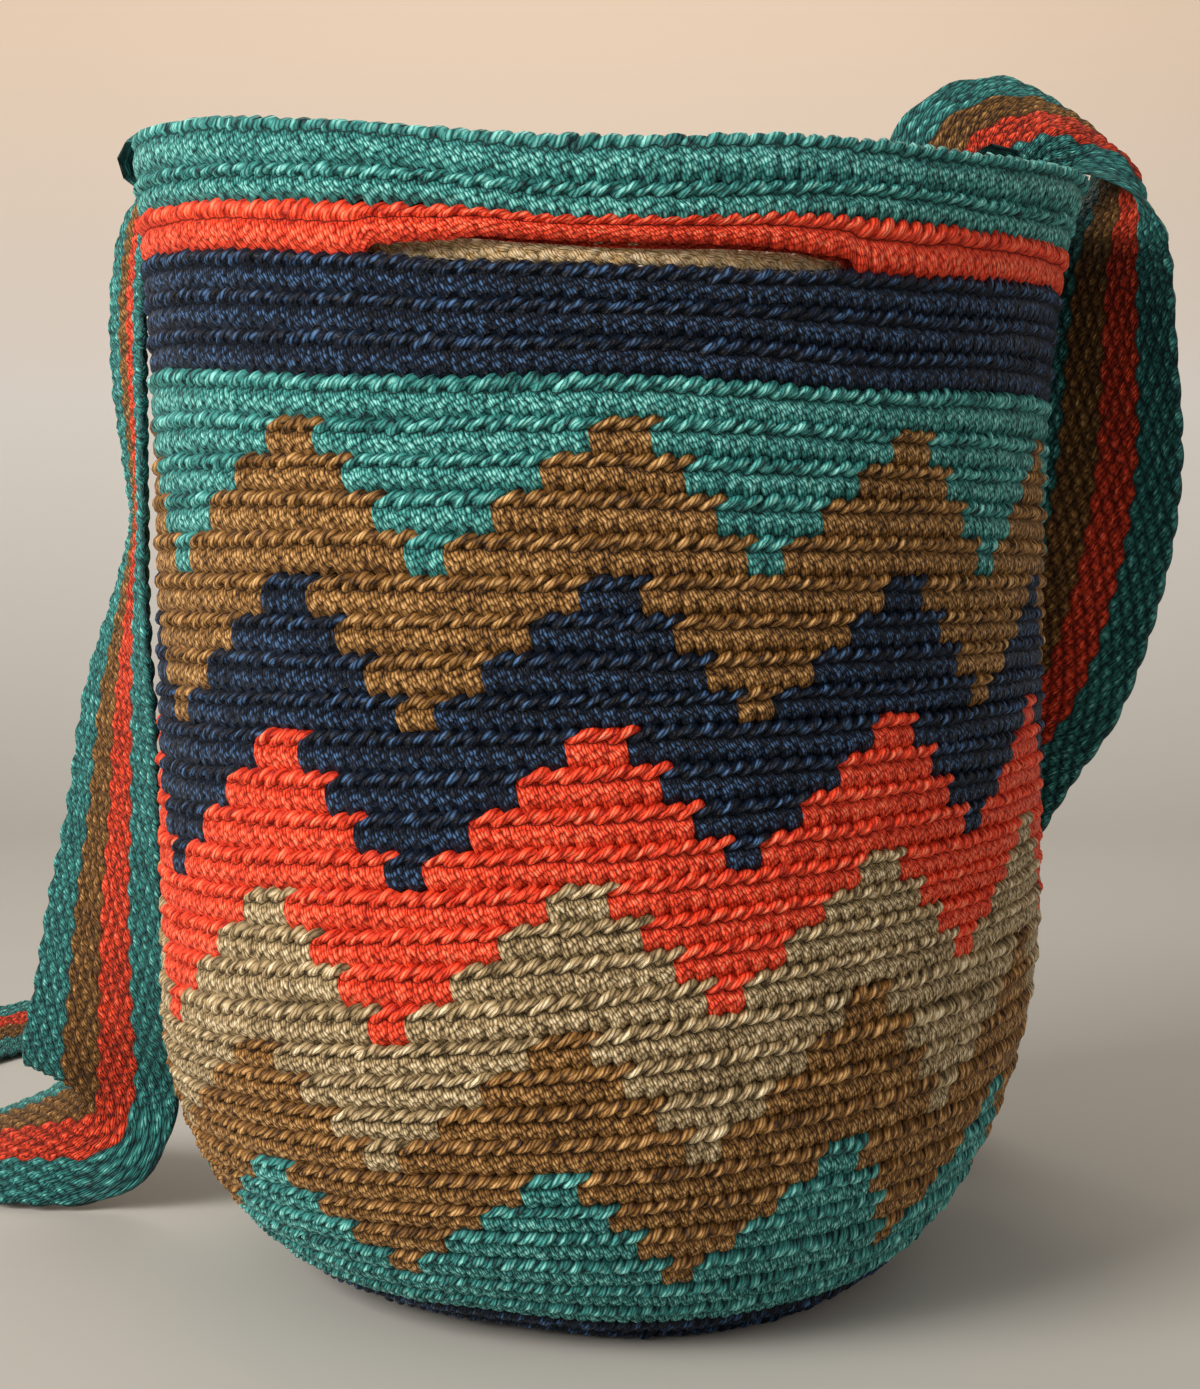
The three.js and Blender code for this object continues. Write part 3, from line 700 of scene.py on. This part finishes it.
CORD_ROUTE = [
    (-21, 124.3, 156), (-21.5, 123.6, 180), (-21, 122.9, 204), (-19.5, 122.6, 228),
    (-18.5, 124, 246), (-19.5, 124.4, 258), (-21.5, 121.7, 267.8), (-25.5, 115.2, 269.5),
    (-31, 109.4, 269.4), (-43, 103.2, 270.6), (-60.4, 95.8, 272.3), (-77.4, 84.8, 274.3),
    (-92, 71.1, 276.4), (-103.4, 55.1, 277.8), (-114.8, 30, 278), (-115.8, 19, 277),
    (-118.6, -8, 277.6), (-112.4, -37.6, 277.4), (-103.6, -55.2, 276.6), (-92, -71.1, 275.6),
    (-77.4, -84.8, 274), (-60.4, -95.8, 272.3), (-41.4, -104, 270.5), (-22, -110.8, 269.1),
    (0, -113.8, 268), (23, -110.8, 267.4), (41.7, -104, 267.4), (61, -95.9, 267.8),
    (78.5, -84.8, 268.6), (93.7, -71.1, 269.5), (106.1, -55.3, 270.4), (115.2, -37.8, 271.2),
    (122, -10, 271.6), (120.8, 19.2, 271.6), (115.2, 37.8, 271.2), (106.1, 55.3, 270.4),
    (93.7, 71.1, 269.5), (78.5, 84.8, 268.6), (61, 95.8, 267.8), (43, 103.3, 267.5),
    (31, 109.5, 267.6), (25.5, 115.4, 268.1), (21.5, 121.2, 265.2), (19.5, 124.4, 257),
    (19, 124, 245), (20, 122.6, 228), (21.5, 122.9, 204), (22, 123.6, 180), (22, 124.2, 162),
]
KNOT_DIAMETER = 12.0
BRUSH_LENGTH = 17.0
BRUSH_YARNS = 26
CORD_STEPS = 920
STRANDS = 3
STRAND_RADIUS = 1.55
# How far each strand swings sideways and in and out as the three are plaited
PLAIT_SIDEWAYS = 1.42
PLAIT_INWARD = 0.78


def drawstring():
    """Three plied strands plaited together, as a mesh that follows the cord's route."""
    line, _, length = through(CORD_ROUTE, count=CORD_STEPS)
    along = np.gradient(line, axis=0)
    along /= np.linalg.norm(along, axis=1, keepdims=True)
    outward = np.stack([line[:, 0], line[:, 1], np.zeros(CORD_STEPS)], axis=-1)
    outward -= along * np.sum(outward * along, axis=1, keepdims=True)
    outward /= np.linalg.norm(outward, axis=1, keepdims=True)
    aside = np.cross(along, outward)
    run = np.linspace(0, length, CORD_STEPS)
    sheets = []
    for strand in range(STRANDS):
        turn = 2 * np.pi * (run / CORD_LAY + strand / STRANDS)
        sideways = aside * (PLAIT_SIDEWAYS * np.sin(turn))[:, None]
        inward = outward * (PLAIT_INWARD * np.sin(2 * turn))[:, None]
        sheets.append(tube_sheet(line + sideways + inward, STRAND_RADIUS, 8, pitch_uv=8.6,
                                 start_uv=41.0 * strand))
    piece = make_piece("plaited_drawstring", sheets, [cord_yarn], ["drawstring"])
    return piece, line, length


cord_piece, cord_line, cord_length = drawstring()


def tail_end(name, tip, replaced, seed):
    """An overhand knot in the cord's end with its loose yarns brushed out below."""
    wave = np.random.default_rng(seed)
    sheets = []
    middle = tip + np.array([0, (KNOT_DIAMETER - CORD_DIAMETER) / 2, -0.5 * KNOT_DIAMETER])
    turn = np.linspace(0, 2 * np.pi, 60)
    knot = np.stack([
        2.6 * (np.sin(turn) + 1.1 * np.sin(2 * turn)) * 0.62,
        1.9 * np.sin(3 * turn) * 0.8,
        2.6 * (np.cos(turn) - 1.1 * np.cos(2 * turn)) * 0.72,
    ], axis=-1) + middle
    sheets.append(tube_sheet(knot, 1.9, 10, pitch_uv=9.0))
    neck = np.linspace(tip, middle, 8)
    sheets.append(tube_sheet(neck, 2.3, 10, pitch_uv=9.0))
    for yarn in range(BRUSH_YARNS):
        aim = wave.uniform(0, 2 * np.pi)
        spread = wave.uniform(0.2, 1.0) ** 0.6
        foot = middle + np.array([1.4 * spread * math.cos(aim), 1.4 * spread * math.sin(aim), -3.5])
        reach = BRUSH_LENGTH * wave.uniform(0.82, 1.0) + 1.5
        fall = np.linspace(0, 1, 9)
        line = foot + np.stack([
            3.0 * spread * math.cos(aim) * fall ** 1.3 + 0.5 * np.sin(5 * fall + aim),
            3.0 * spread * math.sin(aim) * fall ** 1.3 + 0.5 * np.cos(4 * fall + aim),
            -reach * fall,
        ], axis=-1)
        sheets.append(tube_sheet(line, np.linspace(0.55, 0.4, 9), 6, pitch_uv=3.0, start_uv=7.0 * yarn))
    return make_piece(name, sheets, [cord_yarn], [replaced])


left_tail = tail_end("knotted_tail_left", np.array(CORD_ROUTE[0], float), "tail_end_left", 11)
right_tail = tail_end("knotted_tail_right", np.array(CORD_ROUTE[-1], float), "tail_end_right", 12)

# Strap

# Rows along the strap: place on its middle line, the way across it, and its curl in degrees
STRAP_ROUTE = [
    (122.4, 19.6, 280, 0.2, -0.98, 0, -30), (121.8, 19.6, 292, 0.2, -0.98, 0, -30),
    (112, 21, 300, 0.3, -0.94, -0.15, -8), (103, 23, 309.5, 0.5, -0.7, -0.6, 4),
    (109.5, 24, 322, 0.7, -0.6, -0.4, 12), (121, 24, 327.5, 0.45, -0.68, -0.55, 20),
    (133, 23, 327.5, 0.05, -0.85, -0.5, 30), (147, 22, 319.5, -0.05, -0.9, -0.35, 52),
    (152, 20, 305, 0.3, -0.92, -0.05, 38), (148.7, 20, 286, 0.54, -0.83, 0, 22),
    (147.8, 22, 262, 0.69, -0.72, 0, 20), (148.5, 33, 224, 0.89, -0.45, 0, 16),
    (144.5, 43, 190, 0.96, -0.28, 0, 6), (137, 53, 161, 0.93, -0.37, 0, -4),
    (128, 63, 144, 0.88, -0.47, 0, -8), (117, 77, 118, 0.82, -0.57, 0, 0),
    (109, 94, 86, 0.86, -0.5, 0, 0), (104, 114, 54, 0.95, -0.3, 0, 0),
    (96, 136, 25, 0.98, 0.15, 0, 0), (76, 160, 7, 0.8, 0.6, 0, 0),
    (44, 184, 2.6, 0.58, 0.81, 0, 0), (2, 213, 2.6, 0.52, 0.85, 0, 0),
    (-46, 242, 3.6, 0.46, 0.89, 0.03, 0), (-96, 266, 6.3, 0.38, 0.92, 0.12, 6),
    (-148, 284, 8.7, 0.18, 0.97, 0.2, 12), (-204, 288, 8.9, -0.14, 0.97, 0.2, 14),
    (-248, 264, 7, -0.7, 0.7, 0.14, 10), (-270, 218, 4.6, -0.97, 0.22, 0.06, 4),
    (-268, 164, 2.8, -0.98, -0.17, 0, 0), (-248, 116, 4.2, -0.85, -0.52, -0.03, 6),
    (-220, 84, 9.4, -0.58, -0.78, -0.18, 20), (-191, 61, 17.4, -0.3, -0.85, -0.42, 36),
    (-167, 44, 25, 0.2, -0.76, -0.6, 40), (-154, 33, 31, 0.74, -0.42, -0.5, 26),
    (-151, 27, 44, 0.97, -0.2, -0.12, 12), (-149, 21.5, 65, 0.9, -0.43, 0, 8),
    (-147, 19, 97, 0.79, -0.61, 0, 6), (-144.8, 21, 125, 0.68, -0.73, 0, 4),
    (-142.8, 22, 156, 0.58, -0.81, 0, 4), (-138.5, 21, 186, 0.38, -0.92, 0, 0),
    (-135.6, 22, 211, 0.26, -0.96, 0, -4), (-136.7, 25, 230, 0.3, -0.95, 0, -6),
    (-138.9, 29, 255, 0.36, -0.93, 0, -8), (-139.3, 32, 281, 0.38, -0.92, 0, -8),
    (-136.5, 32, 300, 0.34, -0.93, -0.1, -4), (-131.8, 31.5, 311.5, 0.2, -0.96, -0.1, 0),
    (-126.3, 28, 317.6, 0.05, -0.97, -0.2, -6), (-118.6, 24.5, 312.5, -0.1, -0.98, -0.1, -24),
    (-117.4, 21.2, 304, -0.19, -0.98, 0, -28), (-118.2, 19.6, 294, -0.19, -0.98, 0, -29),
    (-118.2, 19.6, 284.5, -0.19, -0.98, 0, -29),
]
# Where the strap turns over the rim its near edge folds down: rows, how far, from where, how much
TUCK_ROWS = [4.4, 5.8, 7.6, 8.8]
TUCK_SHARE = [0.0, 1.0, 1.0, 0.0]
TUCK_FROM = 8.8
TUCK_DEG = 85.0
TUCK_ROLL = 6.0
WARPS = 26
WARP_COLOURS = [0] * 7 + [2] * 6 + [1] * 6 + [0] * 7
KNOB_LENGTH = 9.8
# How far the line between two warps swings, as a share of a warp, and the depth of the edge's lobes
WARP_SWING = 0.37
EDGE_LOBE = 1.1
EDGE_MARGIN = 0.3
WARPS_MARGIN = 1.6
# How high the line between two warps, a narrow warp and a knob stand out, in mm
BETWEEN_RISE = 0.6
NARROW_RISE = 0.35
KNOB_RISE = 1.5
UNEVEN_RISE = 0.05
# Painted shade along the line between two warps
BETWEEN_PAINTED_SHADE = 0.7
STRAP_ROWS = 900


def strap_frames(count):
    """Middle line, way across, way out, bend and tuck at even steps, and the strap's length."""
    route = np.array(STRAP_ROUTE, float)
    line, rows, length = through(route[:, :3], count=count)
    along = np.gradient(line, axis=0)
    along /= np.linalg.norm(along, axis=1, keepdims=True)
    across = row_blend(route[:, 3:6], rows)
    across -= along * np.sum(across * along, axis=1, keepdims=True)
    across /= np.linalg.norm(across, axis=1, keepdims=True)
    bend = np.radians(row_blend(route[:, 6], rows)[:, 0]) / STRAP_WIDTH
    bend = np.where(np.abs(bend) < 1e-6, 1e-6, bend)
    share = np.interp(rows, TUCK_ROWS, TUCK_SHARE)
    tuck = share * share * (3 - 2 * share) * math.radians(TUCK_DEG) / TUCK_ROLL
    return (line, across, np.cross(across, along), bend, tuck), length


def strap_places(frames, aside, rise):
    """Places on the strap: aside and rise are grids of rows along it by columns across it."""
    line, across, out, bend, tuck = frames
    bend = bend[:, None]
    tight = bend + tuck[:, None]
    tight = np.where(np.abs(tight) < 1e-6, 1e-6, tight)
    past = np.maximum(0, aside - TUCK_FROM)
    rolled = np.minimum(past, TUCK_ROLL)
    turn = bend * (aside - past)
    turned = turn + tight * rolled
    last = turned + bend * (past - rolled)
    along_across = (np.sin(turn) / bend + (np.sin(turned) - np.sin(turn)) / tight
                    + (np.sin(last) - np.sin(turned)) / bend + rise * np.sin(last))
    along_out = ((np.cos(turn) - 1) / bend + (np.cos(turned) - np.cos(turn)) / tight
                 + (np.cos(last) - np.cos(turned)) / bend + rise * np.cos(last))
    return (line[:, None, :] + across[:, None, :] * along_across[..., None]
            + out[:, None, :] * along_out[..., None])


def strap():
    """Warp-faced band: each warp swells and narrows in turn with its neighbours, like bricks."""
    frames, length = strap_frames(STRAP_ROWS)
    run = np.linspace(0, length, STRAP_ROWS)[:, None]
    pitch = (STRAP_WIDTH - WARPS_MARGIN) / WARPS
    column = np.arange(2 * WARPS + 1)[None, :]
    between = column % 2 == 0
    wave = np.random.default_rng(23)
    drift = 0.35 * np.sin(run / 47.0) + 0.25 * np.sin(run / 19.3 + 1.0)
    phase = 2 * np.pi * run / KNOB_LENGTH + drift
    swell = np.cos(phase + np.pi * (column // 2))
    outermost = (column == 0) | (column == 2 * WARPS)
    side = np.where(column == 0, -1.0, 1.0)
    lobe = np.abs(np.cos(phase / 2 + np.where(column == 0, 0.0, 0.9))) ** 0.6
    aside = (column / 2 - WARPS / 2) * pitch - np.where(between, WARP_SWING * pitch * swell, 0.0)
    aside = np.where(outermost, side * (STRAP_WIDTH / 2 - EDGE_MARGIN - EDGE_LOBE * (1 - lobe)), aside)
    full = (0.5 + 0.5 * swell) ** 0.7
    uneven = wave.normal(0, UNEVEN_RISE, (STRAP_ROWS, 2 * WARPS + 1))
    sheets = []
    for face in (1, -1):
        rise = np.where(between, BETWEEN_RISE, NARROW_RISE + KNOB_RISE * full) + uneven
        rise = face * np.where(outermost, 0.0, rise)
        # Painted shade between the warps and where a warp narrows between its knobs
        hollow = np.where(between, BETWEEN_PAINTED_SHADE, 1.0 - full)
        yarn = np.stack([aside + (240.0 if face < 0 else 40.0), run + np.zeros_like(aside)], axis=-1)
        sheets.append({"places": strap_places(frames, aside, rise), "yarn": yarn, "hollow": hollow,
                       "paint": np.repeat(WARP_COLOURS, 2)[None, :], "turned": face > 0})
    piece = make_piece("woven_strap", sheets, woven_yarns, ["strap"])
    join_touching(piece)
    return piece, length


strap_piece, strap_length = strap()


SEAM_STITCHES = 13
SEAM_MARGIN = 6.0
SEAM_YARN_RADIUS = 0.8
SEAM_SLANT = 1.2
SEAM_ROWS = 600
# Each stitch runs from a row to a later row of the strap, and lies and arches this high on it
SEAM_FIRST_ROW, SEAM_ROW_REACH = 0.6, 3.4
SEAM_LIFT, SEAM_ARCH = 2.2, 1.1


def strap_seam(name, at_start, replaced):
    """Whip stitches of teal yarn that hold the strap's end to the inside of the wall."""
    frames, _ = strap_frames(SEAM_ROWS)
    rows = np.arange(0, 6) if at_start else np.arange(SEAM_ROWS - 1, SEAM_ROWS - 7, -1)
    picked = [part[rows] for part in frames]
    sheets = []
    for number in range(SEAM_STITCHES):
        aside = (number / (SEAM_STITCHES - 1) - 0.5) * (STRAP_WIDTH - SEAM_MARGIN)
        spots = []
        for share in np.linspace(0, 1, 9):
            row = SEAM_FIRST_ROW + share * SEAM_ROW_REACH
            low = int(row)
            pair = strap_places([part[low:low + 2] for part in picked],
                                np.full((2, 1), aside + SEAM_SLANT * share),
                                np.full((2, 1), SEAM_LIFT + SEAM_ARCH * np.sin(np.pi * share)))
            spots.append(pair[0, 0] * (1 - (row - low)) + pair[1, 0] * (row - low))
        sheets.append(tube_sheet(spots, SEAM_YARN_RADIUS, 8, pitch_uv=5.0, start_uv=9.0 * number))
    return make_piece(name, sheets, [woven_yarns[0]], [replaced])


strap_seam("whip_stitches_right", True, "strap_seam_right")
strap_seam("whip_stitches_left", False, "strap_seam_left")

# Stage and light


# The sweep, in metres: how far the floor reaches forward and back, its curve, height and half width
FLOOR_FORWARD = 2.2
FLOOR_BACK = 1.5
SWEEP_RADIUS = 0.5
WALL_HEIGHT = 3.0
HALF_WIDTH = 3.0
SWEEP_STEPS = 12


def backdrop():
    """A pale sweep: a floor that curves up into a warm wall."""
    flat_end = FLOOR_BACK - SWEEP_RADIUS
    profile = [(-FLOOR_FORWARD, 0.0), (flat_end, 0.0)]
    for step in range(1, SWEEP_STEPS + 1):
        turn = math.radians(90 * step / SWEEP_STEPS)
        profile.append((flat_end + SWEEP_RADIUS * math.sin(turn),
                        SWEEP_RADIUS - SWEEP_RADIUS * math.cos(turn)))
    profile.append((FLOOR_BACK, WALL_HEIGHT))
    mesh = bpy.data.meshes.new("backdrop")
    places = [(side * HALF_WIDTH, y, z) for y, z in profile for side in (-1, 1)]
    faces = [(2 * k, 2 * k + 1, 2 * k + 3, 2 * k + 2) for k in range(len(profile) - 1)]
    mesh.from_pydata(places, [], faces)
    mesh.polygons.foreach_set("use_smooth", [True] * len(faces))
    floor = bpy.data.objects.new("backdrop", mesh)
    bpy.context.scene.collection.objects.link(floor)
    floor_finish = pale_paper()
    mesh.materials.append(floor_finish)


def pale_paper():
    """Matt studio paper, cool grey on the floor and warmer up the wall, growing lighter upward as painted
    light and a little darker far left as painted shade.
    """
    material = bpy.data.materials.new("pale_cloth_paper")
    material.use_nodes = True
    tree = material.node_tree
    tree.nodes.clear()
    place = add_node(tree, "ShaderNodeTexCoord").outputs["Object"]
    part = add_node(tree, "ShaderNodeSeparateXYZ", {0: place})
    # Painted light: the paper grows lighter from the floor up the wall
    up = add_node(tree, "ShaderNodeMapRange", {
        "Value": part.outputs[2], "From Min": 0.0, "From Max": 0.72, "To Min": 0.0, "To Max": 1.0})
    ramp = add_node(tree, "ShaderNodeValToRGB", {0: up.outputs[0]})
    stops = ramp.color_ramp.elements
    stops[0].position, stops[0].color = 0.0, linear("#B4B4B0")
    stops[1].position, stops[1].color = 1.0, linear("#EFDBC8")
    middle = stops.new(0.5)
    middle.color = linear("#DCD9D6")
    # Painted shade: the paper is a little darker towards the far left
    sideways = add_node(tree, "ShaderNodeMapRange", {
        "Value": part.outputs[0], "From Min": 0.3, "From Max": -0.5, "To Min": 0.0, "To Max": 1.0})
    shaded = add_node(tree, "ShaderNodeMix", {
        0: sideways.outputs[0], 6: ramp.outputs[0], 7: linear("#F4F4F4")},
        data_type="RGBA", blend_type="MULTIPLY")
    shader = add_node(tree, "ShaderNodeBsdfPrincipled", {
        "Base Color": shaded.outputs[2], "Roughness": 0.9, "Specular IOR Level": 0.2})
    add_node(tree, "ShaderNodeOutputMaterial", {0: shader.outputs[0]})
    return material


def add_light(name, place, aim, size, power, colour):
    """A soft rectangular lamp at a place, in metres, turned to shine at its aim."""
    lamp = bpy.data.lights.new(name, "AREA")
    lamp.shape = "RECTANGLE"
    lamp.size, lamp.size_y = size
    lamp.energy = power
    lamp.color = linear(colour)[:3]
    light = bpy.data.objects.new(name, lamp)
    light.location = place
    way = np.array(aim) - np.array(place)
    yaw = math.atan2(-way[0], way[1])
    pitch = math.atan2(way[2], math.hypot(way[0], way[1]))
    light.rotation_euler = (math.pi / 2 + pitch, 0, yaw)
    bpy.context.scene.collection.objects.link(light)


def studio_light():
    """A big window from the upper left, a weak warm fill and a glow on the wall."""
    world = bpy.data.worlds.new("soft_room")
    world.use_nodes = True
    tree = world.node_tree
    tree.nodes.clear()
    sky = add_node(tree, "ShaderNodeBackground", {0: linear("#F2EFEA"), 1: 0.5})
    add_node(tree, "ShaderNodeOutputWorld", {0: sky.outputs[0]})
    bpy.context.scene.world = world
    add_light("window", (-1.25, -1.0, 0.95), (0, 0, 0.15), (0.9, 0.9), 41, "#FFF6EC")
    add_light("fill", (1.3, -1.0, 0.6), (0, 0, 0.15), (1.2, 1.2), 3.6, "#FFE9D6")
    add_light("back_glow", (-0.2, 1.0, 1.5), (0, 0, 0.2), (1.2, 0.8), 6, "#FFF3E4")


backdrop()
studio_light()
bpy.context.scene.view_settings.view_transform = "Standard"
